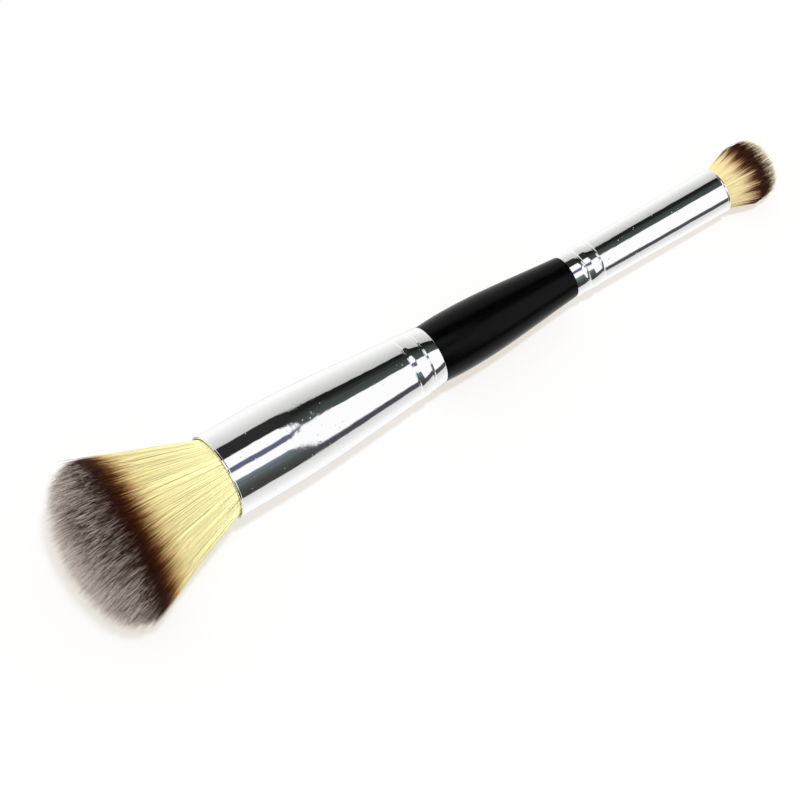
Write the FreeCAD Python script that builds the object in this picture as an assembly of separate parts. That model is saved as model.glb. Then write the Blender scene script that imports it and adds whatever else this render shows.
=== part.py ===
import FreeCAD, Part
import math
import os

from FreeCAD import Placement, Rotation, Vector

# A double ended makeup brush that lies on its side. A turned handle carries a ferrule at each end,
# and each ferrule holds a head of fibres that are set in cast resin. Sizes are in millimetres.
# The brush is modelled along its own axis, x, and is then laid on the ground.

# Handle, between the two ferrules
HANDLE_LENGTH = 36.6
HANDLE_LARGE_END_DIAMETER = 13.35
HANDLE_SWELL_DIAMETER = 13.9
HANDLE_SWELL_PLACE = 9.8  # from the large end to the thickest place
HANDLE_WAIST_DIAMETER = 11.9
HANDLE_WAIST_PLACE = 24.9  # from the large end, where the taper is steepest
HANDLE_SMALL_END_DIAMETER = 9.8
TENON_CHAMFER = 0.8

# Large end
LARGE_FERRULE_LENGTH = 54.8
LARGE_JOINT_DIAMETER = 13.55
LARGE_MOUTH_DIAMETER = 19.3
LARGE_CONE_LENGTH = 34.7  # from the handle to where the cone's line meets the cylinder's
LARGE_BLEND_LENGTH = 20.0  # the rounding between cone and cylinder
LARGE_TENON_LENGTH = 20.0
LARGE_HEAD_LENGTH = 38.0  # outside the ferrule
LARGE_HEAD_FLARE = 20.3  # degrees, from the axis to the side of the head
LARGE_HEAD_DOME_START = 24.0  # from the mouth to where the side begins to round over
LARGE_HEAD_LEAN = 1.6  # how far the tip has set to one side
LARGE_TIP_FLAT_DIAMETER = 6.4  # the dome ends in a small flat
LARGE_ROOT_DEPTH = 12.0  # how far the fibres reach into the ferrule
LARGE_RESIN_DEPTH = 8.0
LARGE_LOCKS = 84
LARGE_LOCK_DEPTH = 0.85

# Small end
SMALL_FERRULE_LENGTH = 42.8
SMALL_JOINT_DIAMETER = 10.0
SMALL_MOUTH_DIAMETER = 10.5
SMALL_CONE_LENGTH = 36.0
SMALL_BLEND_LENGTH = 8.0
SMALL_TENON_LENGTH = 16.0
SMALL_HEAD_LENGTH = 15.3
SMALL_HEAD_FLARE = 19.5
SMALL_HEAD_DOME_START = 2.0
SMALL_HEAD_LEAN = 0.2
SMALL_TIP_FLAT_DIAMETER = 2.8
SMALL_ROOT_DEPTH = 9.0
SMALL_RESIN_DEPTH = 6.0
SMALL_LOCKS = 48
SMALL_LOCK_DEPTH = 0.4

# Both ferrules are rolled from the same sheet with the same tooling
FERRULE_WALL = 0.4
CRIMP_FIRST = 3.3  # from the handle to the middle of the first crimp ring
CRIMP_PITCH = 4.0
CRIMP_WIDTH = 0.7
CRIMP_DEPTH = 0.3
BEAD_HEIGHT = 0.14  # how far the band between the crimp rings bulges
MOUTH_ROLL_WIDTH = 0.5
MOUTH_ROLL_HEIGHT = 0.12
END_ROUNDING = 0.15

# Clearances
GLUE_GAP = 0.05  # tenon to ferrule
FIBRE_GAP = 0.05  # fibre roots and resin to ferrule
RESIN_DISH = 0.6  # the hollow that the resin's back sets with

# Heads
DOME_FULLNESS = 2.2  # 2 is an ellipse, more is blunter
DOME_STEPS = 8
SIDE_STEPS = 3
TIP_SCATTER = 0.5  # how far the locks end before or behind each other
LOCK_ANGLE = 2.4  # radians, the turn that makes neighbouring locks differ

# How far the ground presses the soft heads where they are thickest
LARGE_HEAD_PRESS = 3.2
SMALL_HEAD_PRESS = 0.5


def at(x, radius):
    """A point of a turned piece's section."""
    return Vector(x, 0, radius)


def line(start, end):
    return Part.makeLine(start, end)


def arc(start, middle, end):
    return Part.Arc(start, middle, end).toShape()


def turned(edges):
    """The solid that a closed section gives when it is turned about the brush axis."""
    section = Part.Face(Part.Wire(Part.__sortEdges__(edges)))
    return section.revolve(Vector(0, 0, 0), Vector(1, 0, 0), 360)


def moved(shape, place):
    result = shape.copy()
    result.Placement = place.multiply(result.Placement)
    return result


class Ferrule:
    """A drawn tube, measured from its handle end: a cone that is rounded into a cylinder."""

    def __init__(self, length, joint_diameter, mouth_diameter, cone_length, blend_length):
        self.length = length
        self.joint_radius = joint_diameter / 2
        self.mouth_radius = mouth_diameter / 2
        self.slope = (self.mouth_radius - self.joint_radius) / cone_length
        turn = math.atan(self.slope)
        self.blend_start = cone_length - blend_length / 2 * math.cos(turn)
        self.blend_end = cone_length + blend_length / 2
        self.blend_radius = blend_length / 2 / math.tan(turn / 2)
        self.crimps = (CRIMP_FIRST, CRIMP_FIRST + CRIMP_PITCH)

    def radius(self, x):
        if x <= self.blend_start:
            return self.joint_radius + self.slope * x
        if x >= self.blend_end:
            return self.mouth_radius
        rise = math.sqrt(self.blend_radius**2 - (self.blend_end - x) ** 2)
        return self.mouth_radius - self.blend_radius + rise

    def point(self, x, inset):
        return at(x, self.radius(x) - inset)

    def outline(self, start, end, inset):
        """The tube's outline from start to end, as lines and an arc, moved inwards by inset."""
        bends = [x for x in (self.blend_start, self.blend_end) if start < x < end]
        stations = [start, *bends, end]
        edges = []
        for a, b in zip(stations, stations[1:]):
            middle = (a + b) / 2
            first, last = self.point(a, inset), self.point(b, inset)
            if self.blend_start < middle < self.blend_end:
                edges.append(arc(first, self.point(middle, inset), last))
            else:
                edges.append(line(first, last))
        return edges

    def crimped_outline(self, start, end, inset):
        """The same outline with the two crimp rings and the bead between them."""
        half = CRIMP_WIDTH / 2
        near, far = self.crimps
        edges = self.outline(start, near - half, inset)
        for middle in self.crimps:
            floor = self.point(middle, inset + CRIMP_DEPTH)
            edges.append(arc(self.point(middle - half, inset), floor, self.point(middle + half, inset)))
        crown = self.point((near + far) / 2, inset - BEAD_HEIGHT)
        edges.append(arc(self.point(near + half, inset), crown, self.point(far - half, inset)))
        return edges + self.outline(far + half, end, inset)

    def tube(self):
        """The sheet metal: the crimped outline outside and inside, rounded ends, a rolled mouth."""
        roll_start = self.length - MOUTH_ROLL_WIDTH
        outside = self.crimped_outline(END_ROUNDING, roll_start, 0)
        inside = self.crimped_outline(0, self.length, FERRULE_WALL)
        corner = END_ROUNDING * (1 - math.sqrt(0.5))
        handle_end = [
            arc(
                self.point(0, END_ROUNDING),
                self.point(corner, corner),
                self.point(END_ROUNDING, 0),
            ),
            line(self.point(0, END_ROUNDING), self.point(0, FERRULE_WALL)),
        ]
        lip = self.point(self.length, FERRULE_WALL / 2)
        mouth = [
            arc(
                self.point(roll_start, 0),
                self.point(self.length - MOUTH_ROLL_WIDTH / 2, -MOUTH_ROLL_HEIGHT),
                lip,
            ),
            line(lip, self.point(self.length, FERRULE_WALL)),
        ]
        return turned(outside + mouth + inside + handle_end)

    def tenon_radius(self):
        """A tenon slides in through the handle end, the narrowest place of the tube."""
        return self.joint_radius - FERRULE_WALL - GLUE_GAP

    def tenon_grooves(self):
        """What the crimp rings press into the tenon, with the glue gap around them."""
        half = CRIMP_WIDTH / 2 + GLUE_GAP
        rings = []
        for middle in self.crimps:
            floor = self.point(middle, FERRULE_WALL + CRIMP_DEPTH + GLUE_GAP)
            edge_a = self.point(middle - half, FERRULE_WALL)
            edge_b = self.point(middle + half, FERRULE_WALL)
            rings.append(turned([arc(edge_a, floor, edge_b), line(edge_a, edge_b)]))
        return rings

    def resin(self, root_depth, resin_depth):
        """Cast resin behind the fibre roots, with a dished back."""
        front = self.length - root_depth
        back = front - resin_depth
        side = self.outline(back, front, FERRULE_WALL + FIBRE_GAP)
        edge = self.point(back, FERRULE_WALL + FIBRE_GAP)
        rim = math.sqrt(0.5) * edge.z
        dish_rise = RESIN_DISH * (1 - rim**2 / edge.z**2)
        return turned(
            side
            + [
                line(at(front, 0), self.point(front, FERRULE_WALL + FIBRE_GAP)),
                line(at(front, 0), at(back + RESIN_DISH, 0)),
                arc(at(back + RESIN_DISH, 0), at(back + dish_rise, rim), edge),
            ]
        )


class Head:
    """A head of fibres, measured from its ferrule's handle end: tight at the mouth, then flaring
    to a dome. Its side is gathered into pointed locks."""

    def __init__(
        self, ferrule, length, flare, dome_start, lean, tip_flat, root_depth, locks, lock_depth
    ):
        self.ferrule = ferrule
        self.length = length
        self.lean = lean
        self.spread = math.tan(math.radians(flare))
        self.dome_start = dome_start
        self.root_depth = root_depth
        self.locks = locks
        self.lock_depth = lock_depth
        self.root_radius = ferrule.radius(ferrule.length - root_depth) - FERRULE_WALL - FIBRE_GAP
        tip = tip_flat / 2 / (self.root_radius + self.spread * length)
        self.closing = (1 - tip**2) ** (1 / DOME_FULLNESS)

    def radius(self, out):
        """The radius at a distance out of the mouth."""
        side = self.root_radius + self.spread * out
        if out <= self.dome_start:
            return side
        share = self.closing * (out - self.dome_start) / (self.length - self.dome_start)
        return side * math.sqrt(1 - share**DOME_FULLNESS)

    def widest(self):
        """Where the head is thickest, as a distance out of the mouth."""
        steps = 200
        return max((self.length * i / steps for i in range(steps)), key=self.radius)

    def stations(self):
        """Distances out of the mouth, closer together towards the tip."""
        side = [self.dome_start * i / SIDE_STEPS for i in range(SIDE_STEPS)]
        quarter = math.pi / 2
        dome = self.length - self.dome_start
        steps = range(DOME_STEPS + 1)
        return side + [self.dome_start + dome * math.sin(quarter * i / DOME_STEPS) for i in steps]

    def section(self, out):
        """One closed line round the head. Every second point is the ridge of a lock."""
        grown = min(out / self.dome_start, 1)
        closing = self.radius(out) / self.radius(self.widest())
        last = out >= self.length
        aside = self.lean * (out / self.length) ** 2
        points = []
        for i in range(2 * self.locks):
            angle = math.pi * i / self.locks
            swing = math.sin(LOCK_ANGLE * (i // 2))
            ridge = i % 2 == 0
            lift = self.lock_depth * grown * min(closing, 1) * (0.75 + 0.25 * swing)
            radius = self.radius(out) + (lift / 2 if ridge else -lift / 2)
            scatter = TIP_SCATTER * swing * (1 - closing) if ridge and out > self.dome_start else 0
            x = self.ferrule.length + out - (0 if last else abs(scatter))
            y = aside + radius * math.cos(angle)
            points.append(Vector(x, y, radius * math.sin(angle)))
        return Part.makePolygon(points + points[:1])

    def solid(self):
        root = self.ferrule.length - self.root_depth
        ring = [math.pi * i / self.locks for i in range(2 * self.locks)]
        r = self.root_radius
        bottom = [Vector(root, r * math.cos(a), r * math.sin(a)) for a in ring]
        sections = [Part.makePolygon(bottom + bottom[:1])]
        sections += [self.section(out) for out in self.stations()]
        return Part.makeLoft(sections, True, True)


# The large end points to -x and the small end to +x, both from the handle outwards
LARGE_PLACE = Placement(Vector(0, 0, 0), Rotation(Vector(0, 0, 1), 180))
SMALL_PLACE = Placement(Vector(HANDLE_LENGTH, 0, 0), Rotation())


def handle(large, small):
    """The turned handle with a round tenon for each ferrule."""
    small_joint = HANDLE_LENGTH
    outline = [
        at(0, HANDLE_LARGE_END_DIAMETER / 2),
        at(HANDLE_SWELL_PLACE, HANDLE_SWELL_DIAMETER / 2),
        at(HANDLE_WAIST_PLACE, HANDLE_WAIST_DIAMETER / 2),
        at(small_joint, HANDLE_SMALL_END_DIAMETER / 2),
    ]
    curve = Part.BSplineCurve()
    curve.interpolate(outline)
    large_tip, small_tip = -LARGE_TENON_LENGTH, small_joint + SMALL_TENON_LENGTH
    corners = [
        outline[0],
        at(0, large.tenon_radius()),
        at(large_tip + TENON_CHAMFER, large.tenon_radius()),
        at(large_tip, large.tenon_radius() - TENON_CHAMFER),
        at(large_tip, 0),
        at(small_tip, 0),
        at(small_tip, small.tenon_radius() - TENON_CHAMFER),
        at(small_tip - TENON_CHAMFER, small.tenon_radius()),
        at(small_joint, small.tenon_radius()),
        outline[-1],
    ]
    sides = [line(a, b) for a, b in zip(corners, corners[1:])]
    solid = turned([curve.toShape(), *sides])
    for ferrule, place in ((large, LARGE_PLACE), (small, SMALL_PLACE)):
        for ring in ferrule.tenon_grooves():
            solid = solid.cut(moved(ring, place))
    return solid


def resting_place(large_head, small_head):
    """The brush laid down: it turns about y until both heads press into the ground as stated."""
    large_x = -(large_head.ferrule.length + large_head.widest())
    small_x = HANDLE_LENGTH + small_head.ferrule.length + small_head.widest()
    large_radius = large_head.radius(large_head.widest())
    small_radius = small_head.radius(small_head.widest())
    run = small_x - large_x
    rise = large_radius - small_radius
    press = LARGE_HEAD_PRESS - SMALL_HEAD_PRESS
    tilt = math.atan2(rise, run) - math.asin(press / math.hypot(rise, run))
    height = large_radius * math.cos(tilt) + large_x * math.sin(tilt) - LARGE_HEAD_PRESS
    return Placement(Vector(0, 0, height), Rotation(Vector(0, 1, 0), math.degrees(tilt)))


def pressed(head):
    """A laid down head without what the ground presses flat."""
    box = head.BoundBox
    corner = Vector(box.XMin - 1, box.YMin - 1, box.ZMin - 1)
    return head.cut(Part.makeBox(box.XLength + 2, box.YLength + 2, -corner.z, corner))


large_ferrule = Ferrule(
    LARGE_FERRULE_LENGTH,
    LARGE_JOINT_DIAMETER,
    LARGE_MOUTH_DIAMETER,
    LARGE_CONE_LENGTH,
    LARGE_BLEND_LENGTH,
)
small_ferrule = Ferrule(
    SMALL_FERRULE_LENGTH,
    SMALL_JOINT_DIAMETER,
    SMALL_MOUTH_DIAMETER,
    SMALL_CONE_LENGTH,
    SMALL_BLEND_LENGTH,
)
large_head = Head(
    large_ferrule,
    LARGE_HEAD_LENGTH,
    LARGE_HEAD_FLARE,
    LARGE_HEAD_DOME_START,
    LARGE_HEAD_LEAN,
    LARGE_TIP_FLAT_DIAMETER,
    LARGE_ROOT_DEPTH,
    LARGE_LOCKS,
    LARGE_LOCK_DEPTH,
)
small_head = Head(
    small_ferrule,
    SMALL_HEAD_LENGTH,
    SMALL_HEAD_FLARE,
    SMALL_HEAD_DOME_START,
    SMALL_HEAD_LEAN,
    SMALL_TIP_FLAT_DIAMETER,
    SMALL_ROOT_DEPTH,
    SMALL_LOCKS,
    SMALL_LOCK_DEPTH,
)

lying = resting_place(large_head, small_head)
large_lying = lying.multiply(LARGE_PLACE)
small_lying = lying.multiply(SMALL_PLACE)

large_resin = large_ferrule.resin(LARGE_ROOT_DEPTH, LARGE_RESIN_DEPTH)
small_resin = small_ferrule.resin(SMALL_ROOT_DEPTH, SMALL_RESIN_DEPTH)

pieces = {
    "handle": moved(handle(large_ferrule, small_ferrule), lying),
    "large_ferrule": moved(large_ferrule.tube(), large_lying),
    "small_ferrule": moved(small_ferrule.tube(), small_lying),
    "large_head": pressed(moved(large_head.solid(), large_lying)),
    "small_head": pressed(moved(small_head.solid(), small_lying)),
    "large_resin_plug": moved(large_resin, large_lying),
    "small_resin_plug": moved(small_resin, small_lying),
}

heads = Part.makeCompound([pieces["large_head"], pieces["small_head"]])
centre = heads.BoundBox.Center
os.makedirs("parts", exist_ok=True)
for name, shape in pieces.items():
    shape.translate(Vector(-centre.x, -centre.y, 0))
    shape.exportStep("parts/" + name + ".step")
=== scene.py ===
import math

import bmesh
import bpy
from mathutils import Matrix, Vector


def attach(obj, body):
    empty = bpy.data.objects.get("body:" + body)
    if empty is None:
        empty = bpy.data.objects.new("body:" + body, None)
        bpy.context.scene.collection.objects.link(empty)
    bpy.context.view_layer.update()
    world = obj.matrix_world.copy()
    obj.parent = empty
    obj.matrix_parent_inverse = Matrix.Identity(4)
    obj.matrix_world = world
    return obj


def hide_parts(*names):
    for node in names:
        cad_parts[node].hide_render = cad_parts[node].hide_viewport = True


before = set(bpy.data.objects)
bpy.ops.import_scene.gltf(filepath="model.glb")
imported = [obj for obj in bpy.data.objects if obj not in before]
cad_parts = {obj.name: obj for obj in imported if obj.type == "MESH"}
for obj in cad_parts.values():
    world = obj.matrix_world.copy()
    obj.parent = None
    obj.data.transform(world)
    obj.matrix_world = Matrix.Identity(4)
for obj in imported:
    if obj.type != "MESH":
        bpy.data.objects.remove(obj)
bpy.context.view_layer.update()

# ------------------------------------------------------------------------------------ Handle
# The grip between the two ferrules: hardwood, turned to a slight swell and a waist, with a round
# tenon at each end that is glued into a ferrule. It is sprayed with satin black lacquer.

MM = 0.001
LARGE_JOINT = Vector((-0.899, 0.870, 11.215)) * MM  # where the handle meets the large ferrule
LYING_TURN = math.radians(3.1033)  # the brush lies on its heads, the small end lower
ROUND_STEPS = 192

HANDLE_LENGTH = 36.6
HANDLE_OUTLINE = [(0.0, 6.675), (9.8, 6.95), (24.9, 5.95), (36.6, 4.9)]  # place, radius
HANDLE_STEPS = 48
HANDLE_EDGE = 0.12  # taken off where it meets a ferrule
LARGE_TENON = (20.0, 6.325)  # length, radius
SMALL_TENON = (16.0, 4.55)
TENON_CHAMFER = 0.8
SHARP_ANGLE = math.radians(38)  # faces that meet at more than this keep their edge

LACQUER_GLOSS = 0.17
LACQUER_IOR = 1.4
LACQUER_DARK = (0.0004, 0.0004, 0.0006, 1)
LACQUER_PALE = (0.0010, 0.0009, 0.0009, 1)
LACQUER_ROUGHNESS = (0.23, 0.28)
MOTTLE_SCALE = 260
SPRAY_SCALE = 2600
DUST_SCALE = 5200
DUST_SHARE = 0.4
GRAIN_STRENGTH = 0.22
GRAIN_HEIGHT = 0.00003


def paint(code):
    """A colour written as on a paint card, in the linear values that the renderer uses."""
    shares = [int(code[i:i + 2], 16) / 255 for i in (0, 2, 4)]
    return (*[s / 12.92 if s < 0.04045 else ((s + 0.055) / 1.055) ** 2.4 for s in shares], 1)


def lay_down(mesh):
    """Moves a piece from the brush's own axis, x, to where it lies on the ground."""
    mesh.transform(Matrix.Translation(LARGE_JOINT) @ Matrix.Rotation(LYING_TURN, 4, "Y"))


def turned(name, outline, closed=False):
    """A lathe piece: (place, radius) points in millimetres, turned about the brush axis. An open
    outline starts and ends on the axis, a closed one goes round a tube's wall."""
    cut = bmesh.new()
    rings = []
    for place, radius in outline:
        if radius == 0:
            rings.append([cut.verts.new((place * MM, 0, 0))])
            continue
        ring = []
        for i in range(ROUND_STEPS):
            turn = 2 * math.pi * i / ROUND_STEPS
            across = (radius * MM * math.cos(turn), radius * MM * math.sin(turn))
            ring.append(cut.verts.new((place * MM, *across)))
        rings.append(ring)
    pairs = list(zip(rings, rings[1:] + rings[:1])) if closed else list(zip(rings, rings[1:]))
    for a, b in pairs:
        for i in range(ROUND_STEPS):
            j = (i + 1) % ROUND_STEPS
            if len(a) == 1:
                cut.faces.new((a[0], b[j], b[i]))
            elif len(b) == 1:
                cut.faces.new((a[i], a[j], b[0]))
            else:
                cut.faces.new((a[i], a[j], b[j], b[i]))
    bmesh.ops.recalc_face_normals(cut, faces=cut.faces)
    mesh = bpy.data.meshes.new(name)
    cut.to_mesh(mesh)
    cut.free()
    mesh.polygons.foreach_set("use_smooth", [True] * len(mesh.polygons))
    mesh.set_sharp_from_angle(angle=SHARP_ANGLE)
    lay_down(mesh)
    piece = bpy.data.objects.new(name, mesh)
    bpy.context.scene.collection.objects.link(piece)
    return piece


def node(tree, kind, *inputs, **settings):
    """A new node. Its inputs are linked or set in order, and None leaves one alone."""
    made = tree.nodes.new(kind)
    for setting, value in settings.items():
        setattr(made, setting, value)
    for socket, value in zip([s for s in made.inputs if s.enabled], inputs):
        if isinstance(value, bpy.types.NodeSocket):
            tree.links.new(value, socket)
        elif value is not None:
            socket.default_value = value
    return made


def result(made, name=None):
    """A node's output: the one with that name, or else the first that is in use."""
    if name:
        return made.outputs[name]
    return next(s for s in made.outputs if s.enabled)


def calc(tree, operation, *values):
    return result(node(tree, "ShaderNodeMath", *values, operation=operation))


def remap(tree, value, low, high, to_low=0.0, to_high=1.0, kind="SMOOTHSTEP"):
    """A value taken from one range to another, held at its ends."""
    made = node(
        tree, "ShaderNodeMapRange", value, low, high, to_low, to_high, interpolation_type=kind
    )
    return result(made)


def noise(tree, place, scale, detail=2.0, roughness=0.5, dimensions="3D"):
    made = tree.nodes.new("ShaderNodeTexNoise")
    made.noise_dimensions = dimensions
    if place is not None:
        tree.links.new(place, made.inputs["W" if dimensions == "1D" else "Vector"])
    made.inputs["Scale"].default_value = scale
    made.inputs["Detail"].default_value = detail
    made.inputs["Roughness"].default_value = roughness
    return made


def graded(tree, value, stops):
    """Colours at places from 0 to 1, blended between them."""
    made = node(tree, "ShaderNodeValToRGB", value)
    elements = made.color_ramp.elements
    while len(elements) < len(stops):
        elements.new(1.0)
    for element, (position, colour) in zip(elements, stops):
        element.position = position
        element.color = colour
    return made.outputs["Color"]


def finish_of(name):
    """A new material: its node tree, its shader, and the object's own coordinates."""
    material = bpy.data.materials.new(name)
    material.use_nodes = True
    tree = material.node_tree
    shader = tree.nodes["Principled BSDF"]
    place = node(tree, "ShaderNodeTexCoord").outputs["Object"]
    return material, tree, shader, place


def raised(tree, shader, height, strength, distance):
    """Gives a finish its relief: a height, how strongly it shows, and how far it stands out."""
    bump = node(tree, "ShaderNodeBump")
    bump.inputs["Strength"].default_value = strength
    bump.inputs["Distance"].default_value = distance
    tree.links.new(height, bump.inputs["Height"])
    tree.links.new(bump.outputs["Normal"], shader.inputs["Normal"])


def cubic_through(points, place):
    """The radius that the smooth curve through four points has at a place."""
    radius = 0
    for i, (x, r) in enumerate(points):
        share = 1
        for j, (other, _) in enumerate(points):
            if j != i:
                share *= (place - other) / (x - other)
        radius += r * share
    return radius


def tenon(start, way, length, radius):
    """Points of one tenon, from the handle's face to the axis at its end."""
    end = start + way * length
    chamfer = end - way * TENON_CHAMFER
    return [(start, radius), (chamfer, radius), (end, radius - TENON_CHAMFER), (end, 0)]


grip = []
for step in range(HANDLE_STEPS + 1):
    place = HANDLE_LENGTH * step / HANDLE_STEPS
    grip.append((place, cubic_through(HANDLE_OUTLINE, place)))
grip[0] = (HANDLE_EDGE, grip[0][1])
grip[-1] = (HANDLE_LENGTH - HANDLE_EDGE, grip[-1][1])
grip = [(0, grip[0][1] - HANDLE_EDGE), *grip, (HANDLE_LENGTH, grip[-1][1] - HANDLE_EDGE)]
handle = turned(
    "handle_grip",
    tenon(0, -1, *LARGE_TENON)[::-1] + grip + tenon(HANDLE_LENGTH, 1, *SMALL_TENON),
)

lacquer, tree, shader, place = finish_of("satin_black_lacquer")
shader.inputs["Specular IOR Level"].default_value = LACQUER_GLOSS
shader.inputs["IOR"].default_value = LACQUER_IOR
mottle = noise(tree, place, MOTTLE_SCALE, 3.0)
spray = noise(tree, place, SPRAY_SCALE, 2.0)
dust = noise(tree, place, DUST_SCALE, 1.0)
tone = graded(tree, result(mottle), [(0.3, LACQUER_DARK), (0.75, LACQUER_PALE)])
tree.links.new(tone, shader.inputs["Base Color"])
dull = remap(tree, result(mottle), 0.3, 0.7, *LACQUER_ROUGHNESS, "LINEAR")
tree.links.new(dull, shader.inputs["Roughness"])
grain = calc(tree, "ADD", result(spray), calc(tree, "MULTIPLY", result(dust), DUST_SHARE))
raised(tree, shader, grain, GRAIN_STRENGTH, GRAIN_HEIGHT)
handle.data.materials.append(lacquer)

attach(handle, "root")
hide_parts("handle")

# ------------------------------------------------------------------------------ Large ferrule
# The tube that holds the large head: thin metal, drawn to a cone that runs into a cylinder, and
# plated mirror bright. Two rings are rolled in near the handle to crimp it on, and the mouth is
# rolled over.

FERRULE_WALL = 0.4
CRIMP_PLACES = (3.3, 7.3)
CRIMP_HALF = 0.35
CRIMP_DEPTH = 0.3
CRIMP_STEPS = 8
BEAD_HEIGHT = 0.14
BEAD_STEPS = 14
BLEND_STEPS = 16
MOUTH_ROLL_WIDTH = 0.5
MOUTH_ROLL_HEIGHT = 0.12
MOUTH_ROLL_STEPS = 6
MOUTH_LIP = 0.02  # how far the roll ends short of the mouth
MOUTH_INNER_EDGE = 0.05
FERRULE_EDGE = 0.15  # rounding of the outer edge at the handle
FERRULE_EDGE_MIDDLE = 0.044
EDGE_POINTS = 3  # points of the outline that the rounded edge takes
MOUTH_POINTS = 11  # points that the inside of the wall leaves out at the mouth
LARGE_FERRULE = dict(length=54.8, joint=13.55, mouth=19.3, cone=34.7, blend=20.0)
PLATING = (0.975, 0.975, 0.980, 1)
PLATING_PIT = (0.86, 0.86, 0.86, 1)
PLATING_ROUGHNESS = (0.016, 0.050)
SMEAR_SCALE = 75
WAVE_SCALE = 130
WAVE_HEIGHT = 0.00009
DENT_SCALE = 1300
DIE_MARK_DEPTH = 0.000009
DIE_MARKS_REACH = (0.002, 0.009)  # metres either way, full and none
SCRATCH_SCALE = 520
SCRATCH_STRETCH = (1.0, 7.0, 7.0)
SCRATCH_DEPTH = 0.0000008
PIT_SCALE = 1000
PIT_EDGE = (0.08, 0.20)
PIT_DEPTH = 0.000005
PIT_ROUGHNESS = 0.5
PIT_GROUPS_SCALE = 330
PIT_RARITY = 0.60
PIT_RARITY_LOST = 0.12  # at the die marks, where pits are commoner
LARGE_PRESS_MARKS = -33.0  # where the drawing die has left its marks, from the handle


def drawn_tube(length, joint, mouth, cone, blend):
    """The closed (place, radius) outline of a ferrule's wall, from its handle end."""
    slope = (mouth - joint) / 2 / cone
    turn = math.atan(slope)
    blend_start = cone - blend / 2 * math.cos(turn)
    blend_end = cone + blend / 2
    blend_radius = blend / 2 / math.tan(turn / 2)

    def radius(x):
        if x <= blend_start:
            return joint / 2 + slope * x
        if x >= blend_end:
            return mouth / 2
        return mouth / 2 - blend_radius + math.sqrt(blend_radius**2 - (blend_end - x) ** 2)

    outside = [
        (0, radius(0) - FERRULE_EDGE),
        (FERRULE_EDGE_MIDDLE, radius(0) - FERRULE_EDGE_MIDDLE),
        (FERRULE_EDGE, radius(FERRULE_EDGE)),
    ]
    near, far = CRIMP_PLACES
    for middle in CRIMP_PLACES:
        for step in range(CRIMP_STEPS + 1):
            across = -1 + 2 * step / CRIMP_STEPS
            x = middle + CRIMP_HALF * across
            outside.append((x, radius(x) - CRIMP_DEPTH * (1 - across**2)))
        if middle == near:
            start, end = near + CRIMP_HALF, far - CRIMP_HALF
            for step in range(1, BEAD_STEPS):
                across = -1 + 2 * step / BEAD_STEPS
                x = (start + end) / 2 + (end - start) / 2 * across
                outside.append((x, radius(x) + BEAD_HEIGHT * (1 - across**2)))
    for step in range(BLEND_STEPS + 1):
        x = blend_start + (blend_end - blend_start) * step / BLEND_STEPS
        outside.append((x, radius(x)))
    roll = length - MOUTH_ROLL_WIDTH
    for step in range(MOUTH_ROLL_STEPS + 1):
        turn = math.pi * step / MOUTH_ROLL_STEPS
        x = roll + MOUTH_ROLL_WIDTH / 2 * (1 - math.cos(turn))
        if step == MOUTH_ROLL_STEPS:
            x = length - MOUTH_LIP
        outside.append((x, mouth / 2 + MOUTH_ROLL_HEIGHT * math.sin(turn)))
    outside.append((length, mouth / 2 - FERRULE_WALL / 2))
    inside = [(length - MOUTH_INNER_EDGE, mouth / 2 - FERRULE_WALL)]
    followed = outside[EDGE_POINTS:-MOUTH_POINTS]
    inside += [(x, r - FERRULE_WALL) for x, r in reversed(followed)]
    inside.append((0, radius(0) - FERRULE_WALL))
    return outside + inside


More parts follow.
